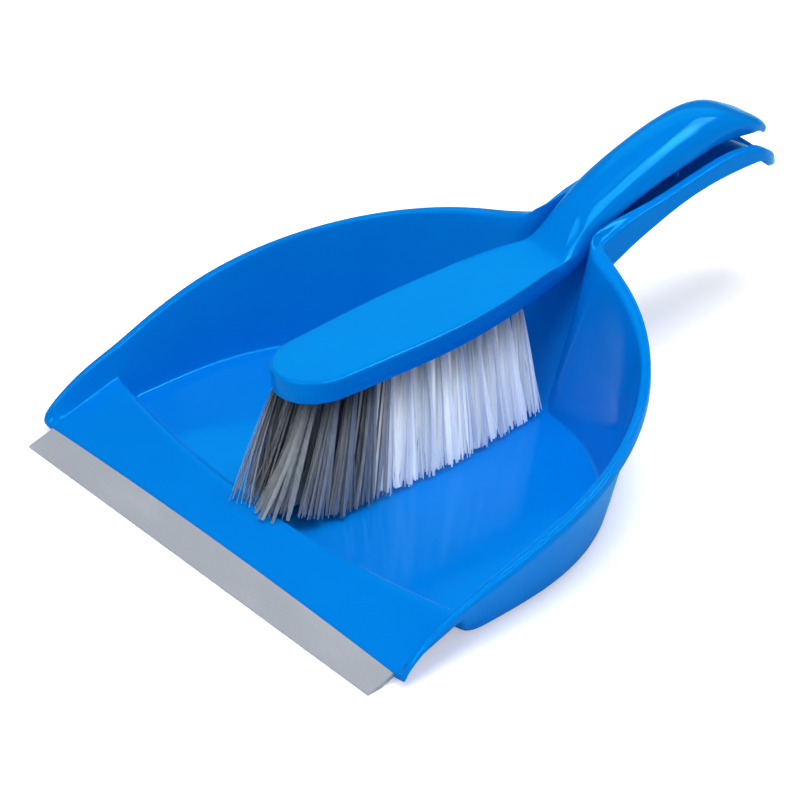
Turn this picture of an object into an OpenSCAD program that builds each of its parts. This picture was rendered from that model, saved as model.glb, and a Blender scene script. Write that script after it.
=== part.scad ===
// Dust pan with a rubber lip, and the hand brush that clips into its handle.
// Millimetres. X is across the pan, Y runs from the lip to the handle's tip, Z is up.
// The origin is on the ground, under the middle of the pan's length and width.

/* [Pan outline] */
// Length from the front of the nominal ramp to the tip of the handle
pan_length = 331; // [326:1:345]
// Width over the rim at its widest place
pan_width = 235; // [228:1:250]
// Distance of the widest place from the lip's edge
widest_at = 86; // [80:1:92]
// Distance of the back of the rim from the lip's edge, on the centre line
rim_back = 205.5; // [200:0.5:210]
// Width of the ramp where it meets the lip
ramp_width = 218; // [212:1:222]
// Distance of the ramp's crest from the lip's edge, at the walls
crest_at = 47; // [42:1:52]
// How far the middle of the crest bows towards the lip
crest_bow = 11; // [4:1:14]

/* [Pan heights] */
// Height of the crest of the ramp at the walls
crest_height = 13.5; // [11:0.5:16]
// Height of the rim beside the crest
rim_front_height = 25.5; // [23:0.5:28]
// Height of the rim at its widest place
rim_mid_height = 37.5; // [35:0.5:40]
// Height of the rim where it turns into the handle
rim_back_height = 69; // [66:0.5:72]
// Height of the handle's flange where the handle starts
grip_front_height = 78.5; // [76:0.5:81]
// Height of the handle's flange at its highest place
grip_top_height = 88.5; // [86:0.5:91]
// Height of the tip of the handle
grip_tip_height = 61; // [57:0.5:65]

/* [Pan floor and walls] */
// Thickness of the pan's walls and floor
wall = 2; // [1.6:0.1:2.4]
// Width of the floor, over the outside of the walls' feet
floor_width = 216; // [210:1:220]
// Distance of the floor's widest place from the lip's edge
floor_widest_at = 72; // [66:1:80]
// Distance of the back of the floor from the lip's edge
floor_back = 179.5; // [174:0.5:184]
// Radius where the walls meet the floor and the ramp
foot_radius = 3; // [2:0.25:4]
// Width of the rim's flange beside the crest
flange_front = 3.2; // [2.6:0.1:4]
// Width of the rim's flange at the widest place
flange_mid = 4.2; // [3.6:0.1:5]
// Width of the rim's flange where it turns into the handle
flange_back = 8; // [7:0.25:9]
// Depth of the skirt under the rim
skirt_depth = 5; // [4:0.25:6]
// Height of the small step along the rim's flange
rim_step = 0.5; // [0.3:0.1:0.8]

/* [Pan handle] */
// Width of the handle over its flanges
grip_width = 40; // [38:0.5:42]
// Width of each flange of the handle
grip_flange = 5; // [4.5:0.25:5.5]
// Depth of the trough between the flanges
trough_depth = 7; // [6:0.5:8]
// Depth of the skirt under the handle's flanges
grip_skirt = 9; // [8:0.5:10]
// Length over which the end of the handle is rounded
grip_end = 31; // [28:1:36]

/* [Lip] */
// Width of the rubber lip
lip_width = 217; // [212:0.5:220]
// How far the lip's free edge stands out in front of the nominal ramp
lip_out = 1.2; // [0.8:0.1:2]
// Distance of the ramp's front edge from the front of the nominal ramp
lip_length = 11.5; // [9:0.5:14]
// How far the middle of that edge bows away from the lip
lip_bow = 1.6; // [1:0.1:2.5]
// Thickness of the lip at its free edge
lip_edge = 0.8; // [0.6:0.1:1.2]
// How far the ramp's tongue reaches into the lip
tongue = 6; // [4:0.5:8]

/* [Brush] */
// Distance of the brush's front end from the lip's edge
brush_front = 47; // [45:0.5:50]
// Distance of the brush handle's tip from the lip's edge
brush_back = 325; // [321:1:328]
// Width of the brush's head at its widest place
head_width = 40; // [38:0.5:42]
// Height of the head's underside
head_under = 56.8; // [55:0.2:59]
// Thickness of the head
head_thick = 10.6; // [10:0.2:12]
// Radius of the head's top edge
head_edge = 1.4; // [1:0.1:2]
// Width of the brush's handle at its middle
handle_width = 27; // [25:0.5:28]
// Height of the top of the handle's arch
handle_top = 105.5; // [103:0.5:108]
// Height of the tip of the brush's handle
handle_tip = 78.5; // [76:0.5:80]
// Thickness of the handle's hollow shell
shell = 2.6; // [2.2:0.1:3]

/* [Tufts] */
// Diameter of a tuft hole
tuft_hole = 4.5; // [4:0.1:4.8]
// Depth of a tuft hole
hole_depth = 7; // [6:0.5:7.5]
// Spacing of the tufts along the head
tuft_pitch = 9; // [8.5:0.1:9.5]
// Distance between the outer tuft holes' centres and the head's side
tuft_inset = 4.7; // [4.4:0.1:5.5]
// Diameter of a tuft at its tips
tuft_tip = 7; // [6:0.25:7.5]
// Clearance of a tuft's root in its hole, all round
tuft_fit = 0.1; // [0.05:0.05:0.2]
// Gap between the tips of the tufts and the pan under them
tip_gap = 3.5; // [1:0.5:5]
// Thickness of the metal anchor across each tuft's fold
anchor_thick = 0.6; // [0.4:0.1:0.8]
// Height of the metal anchor
anchor_high = 1.8; // [1.4:0.1:2.2]

/* [Hidden] */
pan_blue = [0.0, 0.45, 0.93];
lip_grey = [0.67, 0.68, 0.71];
tuft_grey = [0.55, 0.55, 0.54];
tuft_white = [0.9, 0.92, 0.98];
steel = [0.75, 0.76, 0.78];

// Number of steps round the rim, from the front to the handle's tip, on each stretch
rim_steps = [[0, 8], [1, 6], [2, 4], [3, 15], [4, 8], [5, 6], [5.6, 12]];
rim_stations = concat(stations(rim_steps, 6), [6]);
// Number of steps along the brush on each stretch
brush_steps = [[0, 8], [1, 10], [2, 20], [3, 9]];
brush_stations = concat(stations(brush_steps, 4), [4]);

half_pan = pan_width / 2;
half_ramp = ramp_width / 2;
half_grip = grip_width / 2;
half_floor = floor_width / 2;
half_head = head_width / 2;
half_handle = handle_width / 2;
// Shapes of the rounded outlines: 2 is an ellipse, and more is squarer
floor_power = 2.3;
neck_power = 3;
// Length of the round nose in which each side wall starts, and how far it stands out and up
nose = 26;
nose_out = 6.3;
nose_rise = 1;
// Place of the highest point of the pan's handle, and where its round end starts
grip_top_at = 288;
grip_end_at = pan_length - grip_end;
// How far behind the crest the step down to the floor ends
step_run = 5;
// Draft of the skirts
draft = 0.5;
// Depth to which the trough's floor stands in from the flange
trough_side = 2.5;
// Half the width of the side walls' noses at the lip, and of the tongue
nose_half = half_ramp + nose_out;
half_tongue = lip_width / 2 - 2;
// Number of straight pieces on each half of the lip's bowed rear edge
lip_sides = 10;
// The tongue's thickness, and the clearance of the lip round it and along the ramp
tongue_thick = 0.6;
lip_fit = 0.2;
// The brush: its two round ends, and where the head turns into the handle
head_round = 21.5;
head_round_at = brush_front + head_round;
neck_at = 188;
handle_round = 22;
handle_round_at = brush_back - handle_round;
head_top = head_under + head_thick;
// Rib under the handle that rests in the pan's trough
rib_at = 262;
rib_thick = 3;
rib_width = 14;
seat_gap = 0.3;
// Columns of tufts, half a pitch apart: even ones stand outside and odd ones inside
first_tuft = 8.5;
columns = 25;
grey_columns = 7;
// Heights of the tufts' trimmed ends over the ramp and over the floor
trim_front = ramp(crest_at - crest_bow) + tip_gap - 1;
trim_back = wall + tip_gap + 1.5;
// Stretch behind the crest in which the trimmed ends come down
trim_from = crest_at - 9;
trim_to = crest_at + 15;
// How far the tips of the first and the last tufts lean along the brush
lean_front = 19;
lean_back = 5;
// How much wider the tips stand than the roots
splay = 1.36;
// Small step for measuring directions
eps = 0.01;

// ---- Curves -----------------------------------------------------------------

function mix(a, b, t) = a + (b - a) * t;
function unit(v) = v / norm(v);
function clamp(x, low, high) = min(max(x, low), high);
function smooth(a, b, x) = let (t = clamp((x - a) / (b - a), 0, 1)) t * t * (3 - 2 * t);

// Every station of a list of [start, steps], up to the given end
function stations(steps, end) = [
    for (i = [0 : len(steps) - 1])
        let (to = i == len(steps) - 1 ? end : steps[i + 1][0])
            for (k = [0 : steps[i][1] - 1]) mix(steps[i][0], to, k / steps[i][1])
];

// Smooth curve through keys [place, value]
function span_of(keys, x, i = 0) =
    i >= len(keys) - 2 || x < keys[i + 1][0] ? i : span_of(keys, x, i + 1);
function rate(keys, a, b) = (keys[b][1] - keys[a][1]) / (keys[b][0] - keys[a][0]);
function curve(keys, x) = let (
    last = len(keys) - 1,
    i = span_of(keys, x),
    h = keys[i + 1][0] - keys[i][0],
    t = clamp((x - keys[i][0]) / h, 0, 1),
    m0 = rate(keys, max(i - 1, 0), i + 1) * h,
    m1 = rate(keys, i, min(i + 2, last)) * h,
    a = keys[i][1],
    b = keys[i + 1][1]
) a + m0 * t + (3 * (b - a) - 2 * m0 - m1) * t * t + (2 * (a - b) + m0 + m1) * t * t * t;

// Straight lines through keys [place, value]
function line(keys, x) = let (
    i = span_of(keys, x),
    t = clamp((x - keys[i][0]) / (keys[i + 1][0] - keys[i][0]), 0, 1)
) mix(keys[i][1], keys[i + 1][1], t);

// Rounded corner at p, between the directions of a and c, cut back by da and dc
function bend(a, p, c, da, dc, n) = let (
    s = p + unit(a - p) * da,
    e = p + unit(c - p) * dc
) [for (k = [0 : n]) let (t = k / n) mix(mix(s, p, t), mix(p, e, t), t)];

// ---- Pan: the curves that the walls hang between ------------------------------
// A station runs from 0 at the lip, over 1 at the crest, 2 at the start of the floor,
// 3 at the widest place, 4 at the neck and 5 at the start of the handle, to 6 at its tip.

function ramp(y) = lip_edge + (crest_height - lip_edge) * y / crest_at;

rim_slope = (rim_mid_height - rim_front_height) / (widest_at - crest_at);
rim_heights = [
    [0, rim_front_height - rim_slope * crest_at],
    [crest_at, rim_front_height],
    [widest_at, rim_mid_height],
    [rim_back - 45, mix(rim_mid_height, rim_back_height, 0.6)],
    [rim_back - 6, rim_back_height],
    [rim_back, mix(rim_back_height, grip_front_height, 0.5)],
    [rim_back + 3.5, mix(rim_back_height, grip_front_height, 0.82)],
    [rim_back + 9, grip_front_height],
    [rim_back + 33, mix(grip_front_height, grip_top_height, 0.25)],
    [rim_back + 57, mix(grip_front_height, grip_top_height, 0.66)],
    [grip_top_at, grip_top_height]
];
// Height of the rim and of the handle's flange along the pan
function rim_height(y) = y <= grip_top_at
    ? curve(rim_heights, y)
    : let (e = (y - grip_top_at) / (pan_length - grip_top_at))
        grip_top_height - (grip_top_height - grip_tip_height) * pow(e, 1.7);

// Blunt arch that ends both handles, from its side at 0 to its tip at 1
function round_end(e, half, start, length) =
    [half * pow(max(1 - pow(e, 1.85), 0), 0.9), start + length * e];

// Outer edge of the rim in plan
rim_widths = [
    [lip_length, nose_half],
    [crest_at, half_pan - 1.6],
    [widest_at - 16, half_pan - 0.2],
    [widest_at, half_pan]
];
bowl_half = pow(pow(half_pan, neck_power) - pow(half_grip, neck_power), 1 / neck_power);
// How far along the pan the rim is, before its widest place
function rim_along(s) =
    s < 0.7 ? lip_length + nose * (1 - cos(90 * s / 0.7))
    : s < 1 ? mix(lip_length + nose, crest_at, (s - 0.7) / 0.3)
    : s < 2 ? mix(crest_at, crest_at + step_run, s - 1)
    : mix(crest_at + step_run, widest_at, s - 2);
function rim_plan(s) =
    s < 3 ? let (y = rim_along(s))
        [curve(rim_widths, y), y]
    : s < 5 ? let (
        turn = s < 4 ? 72 * (s - 3) : 72 + 18 * (s - 4),
        x = bowl_half * cos(turn)
    ) [
        pow(pow(x, neck_power) + pow(half_grip, neck_power), 1 / neck_power),
        widest_at + (rim_back - widest_at) * sin(turn)
    ]
    : s < 5.6 ? [half_grip, mix(rim_back, grip_end_at, (s - 5) / 0.6)]
    : round_end((s - 5.6) / 0.4, half_grip, grip_end_at, grip_end);
function rim(s) = let (
    p = rim_plan(s),
    rise = s < 0.7 ? sin(90 * s / 0.7) : 1
) [p[0], p[1], mix(ramp(lip_length) + nose_rise, rim_height(p[1]), rise)];
// Direction in plan from the rim towards the inside
function inward(s) = s < 1 ? [-1, 0, 0] : s >= 6 ? [0, -1, 0]
    : let (d = rim_plan(s + eps) - rim_plan(s - eps)) unit([-d[1], d[0], 0]);

// A point of the rim's plan, moved in by a distance
function inset(s, d) = s < 5.6
    ? [rim_plan(s)[0] + inward(s)[0] * d, rim_plan(s)[1] + inward(s)[1] * d]
    : [rim_plan(s)[0] * (1 - d / half_grip), mix(grip_end_at, rim_plan(s)[1], 1 - 1.2 * d / grip_end)];

flange_widths = [
    [0, 0.6], [0.3, flange_front - 0.6], [1, flange_front], [3, flange_mid], [3.6, flange_mid],
    [4, mix(flange_mid, flange_back, 0.7)], [4.4, flange_back], [5, grip_flange], [6, grip_flange]
];
// How much higher the flange's inner edge stands where it turns into the handle
flange_lifts = [[4.3, 0], [4.7, 1], [4.9, 4], [5, 5], [5.06, 2.5], [5.15, 0]];
skirt_depths = [
    [0, 1], [0.3, 1.6], [1, wall + 0.4], [3, mix(wall, skirt_depth, 0.6)], [3.5, skirt_depth],
    [4, skirt_depth + 1], [4.5, skirt_depth + 5], [4.8, grip_skirt + 4.5], [5, grip_skirt + 6.5],
    [5.07, grip_skirt + 5.5], [5.15, grip_skirt + 2.5], [5.24, grip_skirt - 0.3],
    [5.34, grip_skirt - 1.7], [5.44, grip_skirt - 0.9], [5.52, grip_skirt], [5.6, grip_skirt - 2.2],
    [5.66, grip_skirt - 3.2], [5.8, grip_skirt - 4.2], [5.95, grip_skirt - 5], [6, grip_skirt - 5.4]
];

// Where the step falls from the ramp to the floor: [station, [run from the crest, part of the fall]]
step_top = [
    [0.9, [-1.5, 0]], [1, [-0.2, 0.03]], [1.1, [0.4, 0.14]], [1.85, [step_run - 1, 0.86]],
    [2, [step_run + 0.4, 0.98]], [2.2, [step_run + 2.5, 1]]
];
step_under = [
    [0.9, [-3.6, 0]], [1, [-2.3, 0.05]], [1.1, [-1.9, 0.18]], [1.5, [0.2, 0.55]],
    [1.75, [2.4, 0.8]], [2, [step_run - 0.6, 0.96]], [2.2, [step_run + 2.2, 1]]
];
// A point [along, height] of the ramp, the step or the floor's front, where the crest
// lies at the given distance
function deck(s, side, crest, low, thick) = let (
    k = line(side, max(s, 0.9)),
    y = crest + k[0]
) s < 0.9
    ? let (q = mix(lip_length + lip_bow * (crest_at - crest) / crest_bow, y, s / 0.9)) [q, ramp(q) - thick]
    : [y, mix(ramp(min(y, crest)) - thick, low, k[1])];

foot_half = half_floor - wall;
foot_back = floor_back - wall - floor_widest_at;
function floor_foot(turn, grow) = [
    (foot_half + grow) * pow(cos(turn), 2 / floor_power),
    floor_widest_at + (foot_back + grow) * pow(sin(turn), 2 / floor_power)
];
foot_end = 77.5;
floor_end = floor_foot(foot_end, 0);
function trough_z(y) =
    rim_height(y) - trough_depth * (1 - 0.6 * smooth(grip_end_at - 10, pan_length - 12, y));
// Where the trough of the handle starts, above the chute that falls to the floor
trough_at = 5.22;
trough_y = rim_plan(trough_at)[1];
chute = [
    [4, [floor_end[0], floor_end[1], wall]],
    [4.25, [18.5, floor_back - wall - 0.6, wall + 0.6]],
    [4.45, [15, floor_back + 3.5, wall + 8]],
    [4.65, [13.5, floor_back + 11.5, wall + 24]],
    [4.85, [12.7, floor_back + 20.5, wall + 42]],
    [5.02, [12.5, floor_back + 28, wall + 56]],
    [5.12, [12.5, floor_back + 35, trough_z(floor_back + 35) - 2]],
    [trough_at, [half_grip - grip_flange - trough_side, trough_y, trough_z(trough_y)]]
];
function grip_foot(s) = let (p = inset(s, grip_flange + trough_side)) [p[0], p[1], trough_z(p[1])];
function foot(s) =
    s <= 2.2 ? let (d = deck(s, step_top, crest_at, wall, 0))
        [mix(half_ramp, foot_half, clamp(s - 1, 0, 1)), d[0], d[1]]
    : s < 3 ? [foot_half, mix(foot(2.2)[1], floor_widest_at, (s - 2.2) / 0.8), wall]
    : s < 4 ? let (f = floor_foot(foot_end * (s - 3), 0)) [f[0], f[1], wall]
    : s < trough_at ? curve(chute, s)
    : grip_foot(s);
spine_keys = [
    [2.2, [crest_at - crest_bow + step_run + 2.5, wall]],
    [3, [90, wall]],
    [3.8, [floor_back - 14, wall]],
    [4, [floor_back - 8, wall]],
    [4.25, [floor_back - 1, wall + 0.8]],
    [4.45, [floor_back + 4.5, wall + 8]],
    [4.65, [floor_back + 12.5, wall + 24]],
    [4.85, [floor_back + 21.5, wall + 42]],
    [5.02, [floor_back + 29, wall + 56]],
    [5.12, [floor_back + 36, trough_z(floor_back + 36) - 2]],
    [5.22, [trough_y + 1, trough_z(trough_y + 1)]],
    [5.6, [grip_end_at - 4, trough_z(grip_end_at - 4)]],
    [6, [pan_length - 14, trough_z(pan_length - 14)]]
];
function spine(s) = s <= 2.2
    ? let (d = deck(s, step_top, crest_at - crest_bow, wall, 0)) [0, d[0], d[1]]
    : let (k = curve(spine_keys, s)) [0, k[0], s < 5.24 ? k[1] : trough_z(k[0])];

// The same lines on the underside
function below(s) = let (
    d = spine(min(s + eps, 6)) - spine(s - eps)
) unit([0, d[2], -d[1]]);
function foot_under(s) =
    s <= 2.2 ? let (d = deck(s, step_under, crest_at, 0, wall))
        [mix(half_ramp, foot_half, clamp(s - 1, 0, 1)) + mix(0.4, 1, min(s, 1)), d[0], d[1]]
    : s < 3 ? [half_floor, mix(foot_under(2.2)[1], floor_widest_at, (s - 2.2) / 0.8), 0]
    : s < 4 ? let (f = floor_foot(foot_end * (s - 3), wall)) [f[0], f[1], 0]
    : foot(s) + below(s) * wall - inward(s) * wall * smooth(4, 4.6, s) * (1 - smooth(5.8, 6, s));
function spine_under(s) = s <= 2.2
    ? let (d = deck(s, step_under, crest_at - crest_bow, 0, wall)) [0, d[0], d[1]]
    : spine(s) + below(s) * wall;

// A point of the floor, from 0 at the wall's foot to 1 on the middle line
function floor_point(a, c, w, power) = let (t = 1 - pow(1 - w, power))
    [a[0] * (1 - w), mix(a[1], c[1], t), mix(a[2], c[2], t)];

// Points raised to a height where they lie under it
function at_least(low, points) = [for (p = points) [p[0], p[1], max(p[2], low)]];

// Half of the pan's section at a station, from the middle of the top to the middle below
function pan_ring(s) = let (
    r = rim(s),
    rim_in = function (d, z) let (p = inset(s, d)) [p[0], p[1], z],
    wide = curve(flange_widths, s),
    deep = curve(skirt_depths, s),
    i_z = s < trough_at ? r[2] + line(flange_lifts, s) : rim_height(inset(s, wide)[1]),
    i = rim_in(wide, i_z),
    b = foot(s),
    c = spine(s),
    bu = foot_under(s),
    cu = spine_under(s),
    edge = min(1.4, wide * 0.25),
    lean = min(draft, wide * 0.1),
    k = r - [0, 0, deep],
    j = rim_in(edge + lean, k[2] + max(deep - wall, 0.2)),
    iu = rim_in(wide - min(wall * 0.8, wide * 0.5), i_z - wall),
    power = 2 - smooth(2.5, 3.6, s),
    open = smooth(0, 1.2, s),
    cut = min(foot_radius * mix(0.5, 0.8, open), norm(i - b) * 0.35, norm(c - b) * 0.15),
    cut_under = min((foot_radius + wall) * mix(0.2, 0.8, open), norm(iu - bu) * 0.35, norm(cu - bu) * 0.15),
    lip_in = min(1.4, wide * 0.25),
    drop = rim_step * smooth(0.1, 0.8, s) * (1 - smooth(4.4, 4.9, s)),
    inner = rim_in(lean + wide * 0.36, r[2]),
    outer = rim_in(lean + wide * 0.3, r[2] - drop),
    edge_top = rim_in(lean, r[2] - drop),
    f = floor_point(b, c, 0.1, power),
    fu = floor_point(bu, cu, 0.1, power)
) concat(
    at_least(wall, concat(
        [for (w = [1, 0.8, 0.6, 0.4, 0.25]) floor_point(b, c, w, power)],
        bend(f, b, i, cut, cut, 4),
        [mix(b, i, 0.6)],
        bend(b, i, inner, min(1.6, norm(i - b) * 0.3), lip_in, 3),
        [inner]
    )),
    [outer],
    bend(outer, edge_top, k, wide * 0.15, min(1, deep * 0.3), 3),
    at_least(0, concat(
        [k, rim_in(edge, k[2]), j, iu, mix(bu, iu, 0.6)],
        bend(iu, bu, fu, cut_under, cut_under, 3),
        [for (w = [0.25, 0.5, 0.75, 1]) floor_point(bu, cu, w, power)]
    ))
);
// The ramp's bowed front edge
function front_edge(x) = lip_length + lip_bow * max(1 - pow(x / half_ramp, 2), 0);
// The same points, drawn together to the tongue that the lip grips, at a distance in front
// of the ramp's edge, which bows by the given part of its bow
function tongue_ring(back, bowed) = [
    for (p = pan_ring(0)) let (
        x = p[0] * half_tongue / nose_half,
        y = mix(lip_length, front_edge(x), bowed) - back,
        nose_up = nose_rise * clamp((p[0] - half_ramp) / nose_out, 0, 1),
        up = p[2] - nose_up - ramp(p[1]) + wall / 2
    ) [x, y, ramp(y) - wall / 2 + up * tongue_thick / wall]
];

// ---- Brush: its outline and its section ----------------------------------------

front_half = half_head - 2.3;
head_widths = [
    [head_round_at, front_half], [80, half_head - 1.6], [97, half_head - 0.8], [118, half_head],
    [130, half_head - 0.3], [150, half_head - 1.6], [170, half_head - 3.9],
    [180, half_head - 5.8], [192, half_handle - 0.9], [202, half_handle - 1],
    [215, half_handle - 0.5], [240, half_handle], [270, half_handle],
    [handle_round_at, half_handle - 0.5]
];
brush_tops = [
    [head_round_at, head_top], [175, head_top], [187, head_top + 0.3], [191, head_top + 1.4],
    [195, head_top + 4], [203, mix(head_top, handle_top, 0.33)],
    [209, mix(head_top, handle_top, 0.46)], [215, mix(head_top, handle_top, 0.555)],
    [232, mix(head_top, handle_top, 0.745)], [244, mix(head_top, handle_top, 0.845)],
    [256, mix(head_top, handle_top, 0.935)], [268, handle_top - 0.4], [276, handle_top],
    [284, handle_top - 0.9], [290, handle_top - 2.5], [295, handle_top - 4.5],
    [304, handle_top - 9.7], [311, handle_top - 14.1], [brush_back - 4, handle_tip + 4.3]
];
// Lower edge of the side, and the height of the side above it
brush_edges = [
    [head_round_at, head_under], [130, head_under], [165, head_under + 1.4],
    [180, head_under + 2.2], [196, head_under + 3.7], [207, 68], [213, 72.5], [220, 77.4],
    [233, 82], [246, 85.2], [257, 87.2], [268, 88.8], [280, 89.5], [292, 88.4], [304, 86.8],
    [311, 85.4], [brush_back - 8, 81.3], [brush_back, handle_tip - 2.4]
];
brush_sides = [
    [head_round_at, head_thick - head_edge], [185, head_thick - head_edge], [200, 5],
    [216, 2.6], [262, 2.2], [270, 2.4], [282, 4.6], [291, 6], [300, 6.2], [308, 4.4],
    [314, 3], [brush_back, 2]
];
// How far the side leans in towards its lower edge
brush_tucks = [[268, 0.2], [284, 1.8], [300, 2.4], [312, 1.2], [brush_back, 0.4]];
// How much of the half width is crowned, and how deep the hollow underside is
crowns = [[180, 0], [212, 1]];
hollows = [[200, 0], [228, 1]];
function keyed(keys, y) = curve(keys, max(y, keys[0][0]));
function brush_half(y) = y < head_round_at
    ? front_half * sqrt(max(1 - pow((head_round_at - y) / head_round, 2), 0))
    : curve(head_widths, y);

// Half of the brush's section, from the middle of the top to the middle below:
// 0 is the head's front, 1 where it has its full width, 2 the neck,
// 3 the start of the handle's round end and 4 its tip
function brush_ring(t) = let (
    p = t < 1 ? [front_half * sin(90 * t), head_round_at - head_round * cos(90 * t)]
        : t < 2 ? let (y = mix(head_round_at, neck_at, t - 1)) [brush_half(y), y]
        : t < 3 ? let (y = mix(neck_at, handle_round_at, t - 2)) [brush_half(y), y]
        : round_end(t - 3, half_handle - 0.5, handle_round_at, handle_round),
    c = [0, t < 1 ? mix(brush_front + 12, head_round_at, t)
        : t < 3 ? p[1] : mix(handle_round_at, brush_back - 4, t - 3)],
    reach = norm(p - c),
    out = (p - c) / reach,
    top = keyed(brush_tops, c[1]),
    low_c = keyed(brush_edges, c[1]),
    low_p = keyed(brush_edges, p[1]),
    side = keyed(brush_sides, p[1]),
    tuck = min(keyed(brush_tucks, p[1]), reach * 0.2),
    crown = mix(head_edge, 0.92 * reach, line(crowns, c[1])),
    flat = reach - crown,
    room = min(top - low_c - shell * 1.2, 12) * line(hollows, c[1]),
    lip = min(shell, reach * 0.3),
    at = function (d, z) [c[0] + out[0] * d, c[1] + out[1] * d, z],
    low = function (d) mix(low_c, low_p, d / reach)
) concat(
    [for (w = [0, 0.5]) at(flat * w, top)],
    [for (a = [0 : 15 : 90]) at(flat + crown * sin(a), mix(low_p + side, top, cos(a)))],
    [at(reach - tuck * 0.9, low_p + 0.7), at(reach - tuck - 0.6, low(reach - tuck))],
    [for (a = [0 : 18 : 90]) let (d = (reach - tuck - lip) * cos(a)) at(d, low(d) + room * sin(a))]
);

// ---- Tufts --------------------------------------------------------------------

// Roots and tips of the tufts: [root, tip, is it grey]
function tuft_of(column, side) = let (
    y = brush_front + first_tuft + column * tuft_pitch / 2,
    t = column / (columns - 1),
    x = (brush_half(y) - tuft_inset) / (column % 2 == 0 ? 1 : 3),
    tip_y = y - lean_front * pow(1 - t, 2.2) + lean_back * t * t
) [
    [side * x, y, keyed(brush_edges, y)],
    [side * x * splay, tip_y, mix(trim_front, trim_back, smooth(trim_from, trim_to, tip_y))],
    column < grey_columns
];
tufts = [for (c = [0 : columns - 1], side = [1, -1]) tuft_of(c, side)];
function two(k) = str(k < 10 ? "0" : "", k);
greys = 2 * grey_columns;
tuft_names = [
    for (k = [1 : len(tufts)]) k <= greys ? str("tuft_grey_", two(k)) : str("tuft_white_", two(k - greys))
];
// Turns the Z axis to the tuft's own axis, with the root's end up
module along(tuft) {
    d = unit(tuft[0] - tuft[1]);
    translate(tuft[0]) rotate([0, acos(d[2]), atan2(d[1], d[0])]) children();
}
// The metal anchor that holds the tuft's fold, high in its hole
anchor_at = hole_depth - 2.6;
module anchor(grow) translate([0, 0, anchor_at + anchor_high / 2])
    cube([anchor_thick + 2 * grow, tuft_hole - 0.2 + 2 * grow, anchor_high + 2 * grow], center = true);
module tuft(k) color(tufts[k][2] ? tuft_grey : tuft_white) in_place() along(tufts[k]) {
    root = tuft_hole - 2 * tuft_fit;
    reach = norm(tufts[k][1] - tufts[k][0]);
    difference() {
        union() {
            translate([0, 0, -2]) cylinder(d = root, h = hole_depth + 2 - tuft_fit, $fn = 24);
            translate([0, 0, -reach]) cylinder(d1 = tuft_tip, d2 = root, h = reach - 2, $fn = 24);
        }
        anchor(0.05);
    }
}

// ---- Solids made of half rings, mirrored about the middle ---------------------

function flip(p) = [-p[0], p[1], p[2]];
// Index of a point on the right (side 0) or the left (side 1), shared on the middle line
function at_index(side, i, j, rows, n, shut_first, shut_last) =
    side == 0 || j == 0 || j == n - 1 || (shut_first && i == 0) || (shut_last && i == rows - 1)
        ? i * n + j : (rows + i) * n + j;
module ring_solid(rings, shut_first, shut_last) {
    rows = len(rings);
    n = len(rings[0]);
    skin = [
        for (side = [0, 1], i = [0 : rows - 2], j = [0 : n - 2]) let (
            a = at_index(side, i, j, rows, n, shut_first, shut_last),
            b = at_index(side, i + 1, j, rows, n, shut_first, shut_last),
            c = at_index(side, i + 1, j + 1, rows, n, shut_first, shut_last),
            d = at_index(side, i, j + 1, rows, n, shut_first, shut_last),
            other = (i == rows - 2 && j == 0 && shut_last) || (i == 0 && j == n - 2 && shut_first),
            pair = other ? [[a, b, d], [b, c, d]] : [[a, b, c], [a, c, d]]
        ) each [for (t = pair) side == 0 ? t : [t[0], t[2], t[1]]]
    ];
    cap = shut_first ? [] : [
        for (side = [0, 1], j = [0 : ceil(n / 2) - 2]) let (
            at = function (k) at_index(side, 0, k, rows, n, false, shut_last),
            two = [[at(j), at(j + 1), at(n - 1 - j)], [at(j + 1), at(n - 2 - j), at(n - 1 - j)]]
        ) each [for (t = two) if (t[0] != t[1]) side == 0 ? t : [t[0], t[2], t[1]]]
    ];
    polyhedron(
        points = concat([for (r = rings) each r], [for (r = rings) each [for (p = r) flip(p)]]),
        faces = concat(skin, cap), convexity = 12);
}

// ---- Pieces ---------------------------------------------------------------------

// A profile in [along, height], drawn out to both sides of the middle
module across(half) rotate([90, 0, 90]) translate([0, 0, -half]) linear_extrude(2 * half) children();

// The distances above run from the front of the nominal ramp, and the lip stands out a
// little before it; the part stands on the middle of the whole length
module in_place() translate([0, (lip_out - pan_length) / 2, 0]) children();

module pan_body() color(pan_blue) in_place() ring_solid(concat(
    [tongue_ring(tongue, 0), tongue_ring(lip_fit / 2, 1)],
    [for (s = rim_stations) pan_ring(s)]
), false, true);

module rubber_lip() color(lip_grey) in_place() {
    end = lip_length + lip_bow;
    slot = lip_length - tongue - lip_fit;
    toe = crest_at * (wall - lip_edge) / (crest_height - lip_edge);
    half_slot = half_tongue + lip_fit;
    gap = tongue_thick / 2 + lip_fit;
    difference() {
        across(lip_width / 2) polygon([
            [-lip_out, 0], [toe, 0], [end, ramp(end) - wall], [end, ramp(end)], [-lip_out, lip_edge * 0.75]
        ]);
        across(half_slot) polygon([
            for (q = [[slot, -gap], [end + 1, -gap], [end + 1, gap], [slot, gap]])
                [q[0], ramp(q[0]) - wall / 2 + q[1]]
        ]);
        // the rear edge keeps clear of the bowed edge of the ramp
        translate([0, 0, -1]) linear_extrude(crest_height) polygon(concat(
            [[lip_width, end + 1], [-lip_width, end + 1], [-lip_width, lip_length - lip_fit]],
            [for (k = [-1 : 1 / lip_sides : 1])
                [k * half_ramp, front_edge(k * half_ramp) - lip_fit]],
            [[lip_width, lip_length - lip_fit]]
        ));
    }
}

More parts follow.
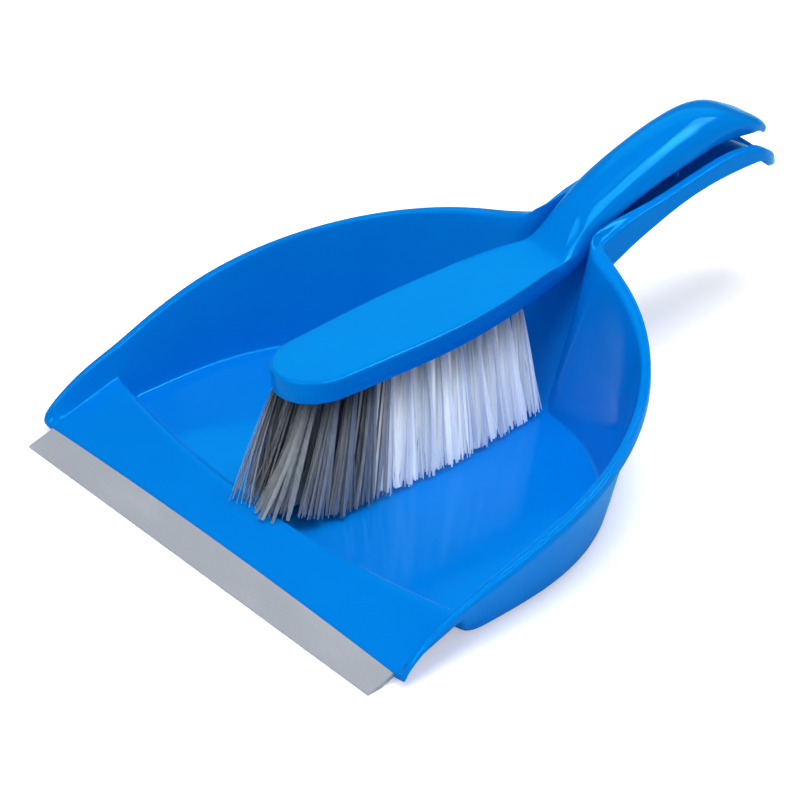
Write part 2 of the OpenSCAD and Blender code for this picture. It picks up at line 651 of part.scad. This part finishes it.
module brush_block() color(pan_blue) in_place() {
    difference() {
        ring_solid([for (t = brush_stations) brush_ring(t)], true, true);
        for (t = tufts) along(t) translate([0, 0, -3]) cylinder(d = tuft_hole, h = hole_depth + 3, $fn = 16);
    }
    foot = trough_z(rib_at + rib_thick / 2) + seat_gap;
    translate([-rib_width / 2, rib_at - rib_thick / 2, foot])
        cube([rib_width, rib_thick, keyed(brush_tops, rib_at) - shell - foot]);
}

module tuft_anchors() color(steel) in_place() for (t = tufts) along(t) anchor(0);

pan_body();
rubber_lip();
brush_block();
tuft_anchors();
for (k = [0 : len(tufts) - 1]) tuft(k);
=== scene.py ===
# %% [markdown]
# Dust pan and hand brush
#
# A moulded blue dust pan with a soft grey lip, and a hand brush that rests in it, handle
# over handle. The frame brings their solids at full size. This script adds what they lack:
# smooth moulded surfaces, materials, and bristles in place of the plain tufts.

# %% Load the frame
import math
import random

import bpy
import numpy as np
from mathutils import Matrix, Vector
from mathutils.bvhtree import BVHTree


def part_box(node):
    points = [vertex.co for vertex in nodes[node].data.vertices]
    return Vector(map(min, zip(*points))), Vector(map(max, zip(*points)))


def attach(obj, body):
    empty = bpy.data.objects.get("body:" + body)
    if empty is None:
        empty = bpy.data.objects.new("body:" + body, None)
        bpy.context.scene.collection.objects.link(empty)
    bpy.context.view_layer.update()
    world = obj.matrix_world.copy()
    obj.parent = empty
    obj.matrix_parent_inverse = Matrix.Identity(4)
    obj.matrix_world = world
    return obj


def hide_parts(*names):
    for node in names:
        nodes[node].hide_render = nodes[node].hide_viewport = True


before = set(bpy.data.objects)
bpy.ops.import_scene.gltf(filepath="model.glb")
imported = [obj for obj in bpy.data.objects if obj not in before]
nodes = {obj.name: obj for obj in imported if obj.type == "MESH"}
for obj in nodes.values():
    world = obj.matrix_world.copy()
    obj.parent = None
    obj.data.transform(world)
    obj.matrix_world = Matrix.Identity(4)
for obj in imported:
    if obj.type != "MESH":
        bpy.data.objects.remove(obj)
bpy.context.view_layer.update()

MM = 0.001

# %% [markdown]
# Every modelling operator acts on what is selected, and the loaded solids start selected.
# These small helpers clear the selection, pick one object, and report what was made.


# %% Selection helpers
def select_only(piece):
    bpy.ops.object.select_all(action="DESELECT")
    piece.select_set(True)
    bpy.context.view_layer.objects.active = piece


def report(piece):
    points = np.array([v.co for v in piece.data.vertices])
    size = (points.max(0) - points.min(0)) / MM
    print(f"{piece.name}: {len(piece.data.polygons)} faces, {size.round(1)} mm")


# %% [markdown]
# A material is a web of nodes. Written as Python expressions it reads like the sum it is:
# this class wraps one output socket, and each operator adds the Math node that it stands
# for. Anything that isn't arithmetic comes from the one method that adds a node.


# %% Materials as expressions
class Wire:
    """One output of a node, with arithmetic."""

    def __init__(self, tree, socket):
        self.tree, self.socket = tree, socket

    def add(self, kind, settings=None, **inputs):
        """A node of a kind, with its settings, and values or wires for its sockets.

        A socket goes by its name, or by its number after an underscore.
        """
        node = self.tree.nodes.new(kind)
        for name, value in (settings or {}).items():
            setattr(node, name, value)
        for name, value in inputs.items():
            key = int(name[1:]) if name[0] == "_" else name.replace("_", " ")
            if isinstance(value, Wire):
                self.tree.links.new(value.socket, node.inputs[key])
            else:
                node.inputs[key].default_value = value
        return Wire(self.tree, node.outputs[0])

    def maths(self, operation, other):
        return self.add("ShaderNodeMath", {"operation": operation}, _0=self, _1=other)

    def __add__(self, other):
        return self.maths("ADD", other)

    def __sub__(self, other):
        return self.maths("SUBTRACT", other)

    def __mul__(self, other):
        return self.maths("MULTIPLY", other)

    def out(self, name):
        """Another output of the same node."""
        return Wire(self.tree, self.socket.node.outputs[name])

    def between(self, low, high, to_low=0.0, to_high=1.0):
        """The value, eased from one range to another and held at its ends."""
        return self.add("ShaderNodeMapRange", {"interpolation_type": "SMOOTHSTEP"}, Value=self,
                        From_Min=low, From_Max=high, To_Min=to_low, To_Max=to_high)

    def tint(self, dark, light):
        """A colour from dark at 0 to light at 1."""
        return self.add("ShaderNodeMix", {"data_type": "RGBA"}, _0=self, _6=(*dark, 1),
                        _7=(*light, 1)).out(2)

    def noise(self, scale, detail=2.0, stretch=(1, 1, 1)):
        """Noise at a number of waves a metre, drawn out along an axis by its stretch."""
        place = self.add("ShaderNodeVectorMath", {"operation": "MULTIPLY"}, _0=self, _1=stretch)
        return self.add("ShaderNodeTexNoise", Vector=place, Scale=scale, Detail=detail)


# %% [markdown]
# Each finish starts from Blender's main shader and from Object coordinates. A pattern could
# also be painted on an unwrapped image, but one that is computed from coordinates has no
# seams, and it stays with its piece when the brush is lifted.


# %% A new material
def new_material(name, **constants):
    """A material with its main shader, and the wire of Object coordinates."""
    material = bpy.data.materials.new(name)
    material.use_nodes = True
    tree = material.node_tree
    shader = tree.nodes["Principled BSDF"]
    for key, value in constants.items():
        shader.inputs[key.replace("_", " ")].default_value = value
    where = tree.nodes.new("ShaderNodeTexCoord")
    return material, shader, Wire(tree, where.outputs["Object"])


def plug(wire, shader, name):
    wire.tree.links.new(wire.socket, shader.inputs[name])


def report_material(material):
    print(f"{material.name}: {len(material.node_tree.nodes)} nodes")


# %% [markdown]
# The pan and the brush are injection moulded polypropylene: an even, saturated blue with a
# satin skin. Up close that skin has a faint orange peel, slight streaks where the melt
# flowed along the part, and a little uneven gloss, which the light picks up at its edges.
# Its gloss is tinted as well, because white highlights would wash the deep colour out.

# %% Blue moulded plastic
SATIN = 0.09


def moulded_blue(name, deep, bright):
    material, shader, place = new_material(name, IOR=1.46, Specular_IOR_Level=0.24,
                                           Specular_Tint=(0.05, 0.8, 1.0, 1))
    # the melt's flow lines run along the part, so their noise is drawn out along y
    flow = place.noise(9, 3, (1, 0.35, 1))
    cloud = place.noise(38, 2)
    mix = flow.between(0.3, 0.7) * 0.7 + cloud.between(0.35, 0.65) * 0.3
    plug(mix.tint(deep, bright), shader, "Base Color")
    wear = place.noise(120, 4, (1, 0.2, 1)).between(0.35, 0.75)
    plug(wear * 0.04 + flow * 0.03 + SATIN, shader, "Roughness")
    peel = place.noise(900, 2)
    streak = place.noise(260, 2, (1, 0.12, 1))
    plug(place.add("ShaderNodeBump", Strength=0.25, Distance=0.00002,
                   Height=peel * 0.6 + streak * 0.4), shader, "Normal")
    return material


pan_plastic = moulded_blue("pan_plastic", (0.0, 0.195, 0.7), (0.0, 0.215, 0.75))
brush_plastic = moulded_blue("brush_plastic", (0.0, 0.195, 0.68), (0.0, 0.215, 0.73))
report_material(pan_plastic)
report_material(brush_plastic)

# %% [markdown]
# The lip is a strip of soft grey rubber pressed on to the ramp. Rubber has no clear gloss:
# its fine grain scatters the light, and a few lighter scuffs run lengthwise, beside the
# edge that scrapes the floor.


# %% Grey rubber
def lip_material():
    material, shader, place = new_material("lip_rubber", IOR=1.5, Specular_IOR_Level=0.3)
    grain = place.noise(1500, 2)
    scuff = place.noise(90, 4, (0.25, 1, 1)).between(0.45, 0.8)
    tone = scuff * 0.6 + grain.between(0.3, 0.7) * 0.4
    plug(tone.tint((0.36, 0.37, 0.41), (0.43, 0.44, 0.48)), shader, "Base Color")
    plug(scuff * 0.12 + 0.5, shader, "Roughness")
    plug(place.add("ShaderNodeBump", Strength=0.35, Distance=0.00003, Height=grain),
         shader, "Normal")
    return material


lip_rubber = lip_material()
report_material(lip_rubber)

# %% [markdown]
# A carried-over solid is a heap of loose triangles with flat shading. A remesh would close
# it, but would soften all its edges alike. So a copy is merged, its triangles are joined
# back into quads, and the edges that turn sharply are creased: a subdivision then rounds
# the broad forms and keeps the crisp ones.

# %% Smooth skins over the solids
MERGE = 0.002 * MM
FLAT_QUAD, ANY_SHAPE = math.radians(70), math.radians(120)
SMOOTH_BELOW = math.radians(40)


def skin_over(node, name, material, body, sharp, levels, crease):
    """A smooth copy of a node's solid. Edges that turn by more than sharp degrees are creased."""
    piece = bpy.data.objects.new(name, nodes[node].data.copy())
    bpy.context.scene.collection.objects.link(piece)
    select_only(piece)
    bpy.ops.object.mode_set(mode="EDIT")
    bpy.ops.mesh.select_all(action="SELECT")
    bpy.ops.mesh.remove_doubles(threshold=MERGE)
    bpy.ops.mesh.tris_convert_to_quads(face_threshold=FLAT_QUAD, shape_threshold=ANY_SHAPE)
    bpy.ops.mesh.select_all(action="DESELECT")
    bpy.ops.mesh.select_mode(type="EDGE")
    bpy.ops.mesh.edges_select_sharp(sharpness=math.radians(sharp))
    bpy.ops.transform.edge_crease(value=crease)
    bpy.ops.object.mode_set(mode="OBJECT")
    if levels:
        rounded = piece.modifiers.new("rounded", "SUBSURF")
        rounded.levels = rounded.render_levels = levels
        bpy.ops.object.modifier_apply(modifier="rounded")
    bpy.ops.object.shade_smooth_by_angle(angle=SMOOTH_BELOW)
    piece.data.materials.clear()
    piece.data.materials.append(material)
    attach(piece, body)
    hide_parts(node)
    report(piece)
    return piece


# %% [markdown]
# The pan keeps its moulded edges crisp, with a high crease. The brush is handled, so its
# edges are rounder. The lip is a flat strip with straight edges and needs no subdivision.

# %% Pan, brush back and lip
pan = skin_over("pan_body", "pan_shell", pan_plastic, "pan", sharp=38, levels=1, crease=0.9)
brush = skin_over("brush_block", "brush_back", brush_plastic, "brush", sharp=38, levels=1,
                  crease=0.6)
lip = skin_over("rubber_lip", "lip_strip", lip_rubber, "pan", sharp=30, levels=0, crease=0.9)

# %% [markdown]
# Each tuft is a bundle of split plastic bristles, folded into its hole and trimmed. Split
# bristles are flat ribbons, wider than they are thick. One is modelled from a cube, cut
# across so that it can bend, and narrowed at its end. Every bristle is a copy of it, set
# along a curve of its own. A hair system could grow them too, but its strands are lines,
# and this model is handed on as meshes.

# %% One bristle
BRISTLE_CUTS = 6
END_FROM = 0.99
NARROWED_END = (0.6, 0.7, 1)
bpy.ops.object.select_all(action="DESELECT")
bpy.ops.mesh.primitive_cube_add(size=1, location=(0, 0, 0.5))
bristle = bpy.context.object
bristle.name = "bristle"
bpy.ops.object.transform_apply(location=True, rotation=False, scale=False)
bpy.ops.object.mode_set(mode="EDIT")
for cut in range(1, BRISTLE_CUTS + 1):
    bpy.ops.mesh.select_all(action="SELECT")
    bpy.ops.mesh.bisect(plane_co=(0, 0, cut / (BRISTLE_CUTS + 1)), plane_no=(0, 0, 1))
bpy.ops.mesh.select_all(action="DESELECT")
bpy.ops.object.mode_set(mode="OBJECT")
for vertex in bristle.data.vertices:
    vertex.select = vertex.co.z > END_FROM
bpy.ops.object.mode_set(mode="EDIT")
bpy.ops.mesh.select_mode(type="VERT")
bpy.ops.transform.resize(value=NARROWED_END)
bpy.ops.object.mode_set(mode="OBJECT")
bristle_points = np.array([v.co for v in bristle.data.vertices])
along = bristle_points[:, 2:3]
bristle_faces = [list(f.vertices) for f in bristle.data.polygons]
bpy.data.objects.remove(bristle)
print("bristle:", len(bristle_points), "points,", len(bristle_faces), "faces")


# %% [markdown]
# The solids say where each tuft leaves the head and where it is trimmed. Trimming cuts all
# the tufts along one line, so the height of a bristle's end is read off that line at the
# place that the end reaches, and not from its own tuft.

# %% The tufts' own lines
TUFTS = sorted(n for n in nodes if n.startswith("tuft_") and n != "tuft_anchors")
END_SLICE = 0.4 * MM


def tuft_ends(node):
    """Centres of a tuft's trimmed end and of its folded end, from its solid."""
    points = np.array([v.co for v in nodes[node].data.vertices])
    axis = np.array([0.0, 0.0, 1.0])
    # each round looks for the ends along the line that the last one found
    for _ in range(4):
        height = points @ axis
        top = points[height > height.max() - END_SLICE].mean(0)
        tip = points[height < height.min() + END_SLICE].mean(0)
        axis = (top - tip) / np.linalg.norm(top - tip)
    return tip, top


ends = {node: tuft_ends(node) for node in TUFTS}
trim_line = np.array(sorted((tip[1], tip[2]) for tip, top in ends.values()))
white_from = min(top[1] for node, (tip, top) in ends.items() if "white" in node)
print("trimmed from", (trim_line[0] / MM).round(1), "to", (trim_line[-1] / MM).round(1), "mm")

# %% [markdown]
# The fringe hangs just above the pan. The solid tufts end a little higher, so each bristle
# goes on below its tuft's trimmed end. Where it would reach into the pan, a ray cast down
# on to the pan's surface says how far to lift it.

# %% Room over the pan
HEAD_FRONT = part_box("brush_block")[0].y
HEAD_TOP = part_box("brush_block")[1].z
BELOW_TRIM = 2.9 * MM
CLEARANCE = 0.6 * MM
pan_surface = BVHTree.FromPolygons([v.co for v in pan.data.vertices],
                                   [list(f.vertices) for f in pan.data.polygons])


def lift_over_pan(curve):
    """How far the end of a curve has to rise for its lower half to clear the pan."""
    lift = 0.0
    for share, (x, y, z) in zip(along[:, 0], curve):
        below = pan_surface.ray_cast(Vector((x, y, HEAD_TOP)), Vector((0, 0, -1)))[0]
        if share > 0.5 and below:
            lift = max(lift, (below.z + CLEARANCE - z) / share**2)
    return lift


print("head from", round(HEAD_FRONT / MM, 1), "mm, top at", round(HEAD_TOP / MM, 1), "mm")

# %% [markdown]
# No two bristles of a tuft are alike. Some are split thin and some stay wide, and one in
# twenty strays from the bundle. The size comes first, so that each seeded draw has its
# fixed place in the order and the brush comes out the same every time.

# %% Width and thickness
# share of the bristles up to which a range of widths holds, and that range in mm
WIDTHS = ((0.3, (0.5, 0.8)), (0.7, (1.0, 1.5)), (1.0, (1.6, 2.4)))
THICKNESS = (0.18, 0.3)
STRAYS = 0.05
STRAY_SIZE = (0.4, 0.3)


def own_size(dice):
    """A bristle's width and thickness, and whether it strays."""
    kind = dice.random()
    widths = next(widths for share, widths in WIDTHS if kind < share)
    size = dice.uniform(*widths), dice.uniform(*THICKNESS)
    stray = dice.random() < STRAYS
    wide, thick = STRAY_SIZE if stray else size
    return wide * MM, thick * MM, stray


print("bristles", WIDTHS[0][1][0], "to", WIDTHS[-1][1][1], "mm wide")

# %% [markdown]
# Neighbouring tufts spread until they meet, so that their ends close up to a single fringe.
# At the round front of the head the tufts fan out more, and the inner ones lean on between
# the outer ones. Spreads are given in mm, across the head and along it.

# %% Where a bristle ends
SPREAD = np.array([3.2, 6.6])
FRONT_SPREAD = np.array([7, 1.5])
FRONT_CLOSES = 0.55
INNER_LEAD = 8
# the draws' ranges in mm: about the place of an end, and for how far a stray goes off
OFF_ACROSS, OFF_ALONG, UNEVEN_TRIM = (-0.5, 0.5), (-0.8, 0.8), (-0.5, 0.9)
STRAY_OUT, STRAY_ALONG = (1, 3), (1, 4)


def own_end(tip, place, front, lead, outward, stray, dice):
    """A bristle's end, from the middle of its tuft's end and its own place in the hole."""
    end = tip * [1 - FRONT_CLOSES * front, 1, 1]
    spread = place * (SPREAD + FRONT_SPREAD * front)
    end += np.array([spread[0], spread[1] - INNER_LEAD * lead, 0]) * MM
    end[0] += dice.uniform(*OFF_ACROSS) * MM
    end[1] += dice.uniform(*OFF_ALONG) * MM
    if stray:
        end += outward * dice.uniform(*STRAY_OUT) * MM
        end[1] += dice.choice((-1, 1)) * dice.uniform(*STRAY_ALONG) * MM
    end[2] = np.interp(end[1], *trim_line.T) - BELOW_TRIM + dice.uniform(*UNEVEN_TRIM) * MM
    return end


print("ends spread by", SPREAD, "mm, and at the front by", SPREAD + FRONT_SPREAD, "mm")

# %% [markdown]
# A bristle leaves its hole along the tuft and bends on its way to its own end, as a curve
# with one handle does. The modelled bristle is then copied on to that curve: its length
# follows the curve, and its flat side faces outwards, give or take a small turn.

# %% Bend and place a bristle
# the curve's handle: how far along the bristle it is, and how far aside, in mm
HANDLE_AT, HANDLE_SPREAD = 0.5, 1.5
HANDLE_ACROSS, HANDLE_ALONG = (-0.8, 0.8), (-1.2, 1.2)
# the flat side's turn at the root, and its further turn on the way to the end, in radians
TURN, TWIST = (-0.45, 0.45), (-0.4, 0.4)


def own_curve(root, end, axis, place, dice):
    """Points along a bristle, from its root to its end."""
    handle = root - axis * np.linalg.norm(end - root) * HANDLE_AT
    handle = handle + np.array([*place, 0]) * HANDLE_SPREAD * MM
    handle[0] += dice.uniform(*HANDLE_ACROSS) * MM
    handle[1] += dice.uniform(*HANDLE_ALONG) * MM
    curve = (1 - along)**2 * root + 2 * along * (1 - along) * handle + along**2 * end
    return curve + along**2 * [0, 0, lift_over_pan(curve)]


def ribbon(curve, wide, thick, axis, outward, dice):
    """A copy of the modelled bristle, set along a curve."""
    turn = dice.uniform(*TURN) + dice.uniform(*TWIST) * along[:, 0]
    across = np.cross(outward, axis)
    across /= np.linalg.norm(across)
    out = np.cross(axis, across)
    x, y = bristle_points[:, 0] * wide, bristle_points[:, 1] * thick
    return (curve + np.outer(x * np.cos(turn) - y * np.sin(turn), across)
            + np.outer(x * np.sin(turn) + y * np.cos(turn), out))


# %% [markdown]
# In its hole each bristle has a place of its own. Places on a spiral that turns by the
# golden angle fill the round evenly. Grey bristles stand among the first white ones, so
# that the two colours meet softly.

# %% All bristles of a tuft
BRISTLES = 26
GOLDEN_ANGLE = 2.39996
HOLE_DEPTH = 4 * MM
HOLE_RADIUS = 1.9 * MM
# the round front of the head: where it starts, the length in which its fan grows to full,
# and how much its tufts face forwards
HEAD_ROUND_AT = HEAD_FRONT + 21.5 * MM
FRONT_LENGTH = 13 * MM
FACE_FORWARDS = 1.5
INNER_HALF = 9 * MM
# the shade of a bristle of the other colour, the share of them at the first white tuft,
# and the length in which that share would fall from 1 to 0
OTHER, MIXED, MEETING = -1.0, 0.75, 11 * MM


def bristles_of(node, dice):
    """The points of each bristle of a tuft, and its shade, or OTHER for the other colour."""
    tip, top = ends[node]
    axis = (top - tip) / np.linalg.norm(top - tip)
    outward = np.array([top[0], min(0.0, top[1] - HEAD_ROUND_AT) * FACE_FORWARDS, 0.0])
    outward /= np.linalg.norm(outward)
    front = min(1.0, max(0.0, (HEAD_ROUND_AT - top[1]) / FRONT_LENGTH))
    lead = front * max(0.0, 1 - abs(top[0]) / INNER_HALF)
    mixed = MIXED - (top[1] - white_from) / MEETING if "white" in node else 0.0
    placed, shades = [], []
    for k in range(BRISTLES):
        spread, turn = math.sqrt((k + 0.5) / BRISTLES), k * GOLDEN_ANGLE
        place = spread * np.array([math.cos(turn), math.sin(turn)])
        wide, thick, stray = own_size(dice)
        end = own_end(tip, place, front, lead, outward, stray, dice)
        root = top - axis * HOLE_DEPTH + np.array([*place, 0]) * HOLE_RADIUS
        curve = own_curve(root, end, axis, place, dice)
        placed.append(ribbon(curve, wide, thick, axis, outward, dice))
        shade = dice.random()
        shades.append(OTHER if dice.random() < mixed else shade)
    return placed, shades


# %% [markdown]
# A tuft's bristles become one mesh. Two attributes go with every point, for the material:
# the bristle's shade, and how far along the bristle the point is.

# %% One mesh for a tuft
RIBBON_SMOOTH_BELOW = math.radians(30)


def build_tuft(node, dice, material):
    placed, shades = bristles_of(node, dice)
    count = len(bristle_points)
    faces = [[k * count + i for i in face] for k in range(BRISTLES) for face in bristle_faces]
    mesh = bpy.data.meshes.new(node + "_bristles")
    mesh.from_pydata(np.concatenate(placed).tolist(), [], faces)
    for name, values in (("shade", np.repeat(shades, count)),
                         ("height", np.tile(along[:, 0], BRISTLES))):
        layer = mesh.attributes.new(name, "FLOAT", "POINT")
        layer.data.foreach_set("value", values)
    piece = bpy.data.objects.new(node + "_bristles", mesh)
    bpy.context.scene.collection.objects.link(piece)
    select_only(piece)
    bpy.ops.object.mode_set(mode="EDIT")
    bpy.ops.mesh.select_all(action="SELECT")
    bpy.ops.mesh.normals_make_consistent(inside=False)
    bpy.ops.object.mode_set(mode="OBJECT")
    bpy.ops.object.shade_smooth_by_angle(angle=RIBBON_SMOOTH_BELOW)
    piece.data.materials.append(material)
    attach(piece, "brush")
    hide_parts(node)


# %% [markdown]
# Bristle plastic lets some light through. No two bristles have quite the same tone, and
# they are painted darker towards the root, as painted shade where they crowd together.
# Each ribbon stands in for a few fine filaments, and its slight glow is painted light, for
# the light that passes between those.

# %% Bristle plastic
OTHER_COLOUR = (0.3, 0.31, 0.33)


def bristle_material(name, dark, light, root_shade_tone, painted_glow):
    material, shader, place = new_material(
        name, IOR=1.48, Specular_IOR_Level=0.4, Subsurface_Weight=0.7, Subsurface_Scale=0.003,
        Subsurface_Radius=(1, 1, 1))
    shade = place.add("ShaderNodeAttribute", {"attribute_name": "shade"}).out("Fac")
    height = place.add("ShaderNodeAttribute", {"attribute_name": "height"}).out("Fac")
    streak = place.noise(700, 2, (1, 1, 0.08)).between(0.3, 0.7)
    # 0 for a bristle of the other colour, and 1 for the tuft's own
    own = shade.between(OTHER, 0)
    tone = own.add("ShaderNodeMix", {"data_type": "RGBA"}, _0=own, _6=(*OTHER_COLOUR, 1),
                   _7=(shade * 0.75 + streak * 0.25).tint(dark, light)).out(2)
    # painted shade: each bristle's colour darkens towards its root
    root = height.between(0.0, 0.45, root_shade_tone, 1.0)
    colour = place.add("ShaderNodeMix", {"data_type": "RGBA", "blend_type": "MULTIPLY"}, _0=1.0,
                       _6=tone, _7=root.tint((0, 0, 0), (1, 1, 1))).out(2)
    plug(colour, shader, "Base Color")
    plug(streak * 0.12 + 0.3, shader, "Roughness")
    # painted light: the bristle glows towards its end, standing in for light that it takes in at
    # its sides
    shader.inputs["Emission Strength"].default_value = 1
    plug((height.between(0.0, 0.6) * (shade * 0.9 + 0.1) * own).tint((0, 0, 0), painted_glow), shader,
         "Emission Color")
    return material


grey_bristle = bristle_material("tuft_grey", dark=(0.1, 0.1, 0.105), light=(0.4, 0.42, 0.45),
                                root_shade_tone=0.15, painted_glow=(0.004, 0.005, 0.006))
white_bristle = bristle_material("tuft_white", dark=(0.5, 0.58, 0.74), light=(0.97, 0.98, 1.0),
                                 root_shade_tone=0.6, painted_glow=(0.22, 0.24, 0.26))
report_material(grey_bristle)
report_material(white_bristle)

# %% [markdown]
# The holes are filled one after another, in the order of their names, with one seeded dice
# for all of them. The tufts at the front of the head are grey and the others are white.

# %% Fill every hole
dice = random.Random(7)
for node in TUFTS:
    grey = "grey" in node
    build_tuft(node, dice, grey_bristle if grey else white_bristle)
print("bristles:", BRISTLES * len(TUFTS))

# %% [markdown]
# Each tuft is held in its hole by a folded steel anchor. It is deep in the hole, so its
# own solid stays and only gets a plain steel finish.


# %% Steel anchors
def anchor_material():
    material, shader, place = new_material("anchor_steel", Metallic=1.0)
    brushed = place.noise(800, 2, (0.1, 1, 1))
    plug(brushed.tint((0.5, 0.5, 0.51), (0.66, 0.66, 0.68)), shader, "Base Color")
    plug(brushed * 0.2 + 0.25, shader, "Roughness")
    return material


anchors = nodes["tuft_anchors"]
anchor_steel = anchor_material()
anchors.data.materials.clear()
anchors.data.materials.append(anchor_steel)
report_material(anchor_steel)

# %% [markdown]
# The set lies on a plain pale floor, which keeps its shadow. More light would make the
# floor white, but the object pale too, so the floor glows a little, for the camera alone.
# Glossy surfaces see it in blue, because a white one would wash their colour out. It lies
# a hair below the pan, so that no two faces share one place.

# %% Floor
FLOOR_SIZE, FLOOR_HEIGHT = 8, -0.0004
FLOOR_GLOW = (0.42, 0.42, 0.42)

bpy.ops.object.select_all(action="DESELECT")
bpy.ops.mesh.primitive_plane_add(size=FLOOR_SIZE, location=(0, 0, FLOOR_HEIGHT))
floor = bpy.context.object
floor.name = "studio_floor"
floor_paint, floor_shader, floor_place = new_material("floor_paint", Roughness=0.9,
                                                      Specular_IOR_Level=0.0,
                                                      Emission_Strength=1)
floor_camera = floor_place.add("ShaderNodeLightPath").out("Is Camera Ray")
floor_glossy = floor_camera.out("Is Glossy Ray")
plug(floor_camera.tint((0, 0, 0), FLOOR_GLOW), floor_shader, "Emission Color")
plug(floor_glossy.tint((0.93, 0.93, 0.94), (0.3, 0.75, 1.0)), floor_shader, "Base Color")
floor.data.materials.append(floor_paint)
report(floor)

# %% [markdown]
# All around is the even light of a studio tent. The camera sees it as white, while glossy
# surfaces see a dimmer blue room with a few bright panels, so that the plastic keeps its
# deep colour and only shows the panels as highlights.

# %% Surround
AIR, BACKDROP, MIRRORED = 0.45, 1.0, 0.17

world = bpy.data.worlds.new("studio")
bpy.context.scene.world = world
world.use_nodes = True
tree = world.node_tree
tree.nodes.clear()
rays = tree.nodes.new("ShaderNodeLightPath")
camera_ray = Wire(tree, rays.outputs["Is Camera Ray"])
glossy_ray = camera_ray.out("Is Glossy Ray")
air = camera_ray.add("ShaderNodeBackground",
                     Color=glossy_ray.tint((0.95, 0.97, 1), (0.2, 0.7, 1)),
                     Strength=camera_ray * (BACKDROP - AIR) + AIR - glossy_ray * (AIR - MIRRORED))
out = tree.nodes.new("ShaderNodeOutputWorld")
tree.links.new(air.socket, out.inputs["Surface"])
print("surround:", BACKDROP, "to the camera,", AIR, "as light,", MIRRORED, "in reflections")

# %% [markdown]
# Two kinds of lamp light the set. Large soft lamps give the even light and aren't seen in
# reflections. Tinted panels do the opposite: they light nothing, and only show as highlights
# in the gloss, where a white one would wash the blue out.

# %% Lamps
SET = (0, 0, 0.05)
HANDLES = (0, 0.35, 0.05)


def panel(name, place, size, power, colour=(1, 1, 1), target=SET):
    """A rectangular lamp that faces its target."""
    lamp = bpy.data.lights.new(name, "AREA")
    lamp.shape, lamp.size, lamp.size_y = "RECTANGLE", size[0], size[1]
    lamp.energy, lamp.color = power, colour
    holder = bpy.data.objects.new(name, lamp)
    bpy.context.scene.collection.objects.link(holder)
    holder.location = place
    facing = Vector(target) - Vector(place)
    holder.rotation_euler = facing.to_track_quat("-Z", "Y").to_euler()
    return holder


soft = [panel("key_panel", (0.2, 0.05, 1.45), (0.6, 0.6), 11),
        panel("fill_panel", (0.05, -0.95, 1.1), (0.9, 0.5), 4),
        panel("side_panel", (1.2, -0.6, 0.1), (0.9, 0.3), 2)]
for lamp in soft:
    lamp.visible_glossy = False
mirrored = [
    panel("shine_panel", (1.0, 0.35, 1.25), (1.5, 0.8), 56, (0.55, 0.8, 1), HANDLES),
    panel("sheen_panel", (-0.6, 0.92, 1.1), (1.8, 0.9), 10.5, (0.02, 0.8, 1)),
    panel("edge_panel", (0.62, 0.85, 1.15), (0.9, 0.5), 17, (0.45, 0.8, 1)),
    panel("front_panel", (0.05, -0.95, 1.2), (1.0, 0.6), 20, (0.4, 0.8, 1))]
for lamp in mirrored:
    lamp.visible_diffuse = False
print("lamps:", len(soft), "soft and", len(mirrored), "for highlights")

# %% [markdown]
# The camera looks down on the set from the front right. A short lens close by would blow up
# the near lip. A long one from further off keeps the far handle nearly as large.

# %% Camera
AZIMUTH, ELEVATION, ROLL = map(math.radians, (48.776, 33.556, -0.199))
DISTANCE = 1.1526
LENS, SENSOR = 127.09, 36
target = Vector((3.71, -58.0, 31.65)) * MM
back = Vector((math.sin(AZIMUTH) * math.cos(ELEVATION),
               -math.cos(AZIMUTH) * math.cos(ELEVATION), math.sin(ELEVATION)))
camera = bpy.data.objects.new("camera", bpy.data.cameras.new("camera"))
bpy.context.scene.collection.objects.link(camera)
camera.location = target + back * DISTANCE
turned = (-back).to_track_quat("-Z", "Y").to_matrix() @ Matrix.Rotation(ROLL, 3, "Z")
camera.rotation_euler = turned.to_euler()
camera.data.lens, camera.data.sensor_width = LENS, SENSOR
bpy.context.scene.camera = camera
bpy.context.scene.view_settings.view_transform = "Standard"
print("camera at", [round(v, 3) for v in camera.location], "with a lens of", LENS, "mm")
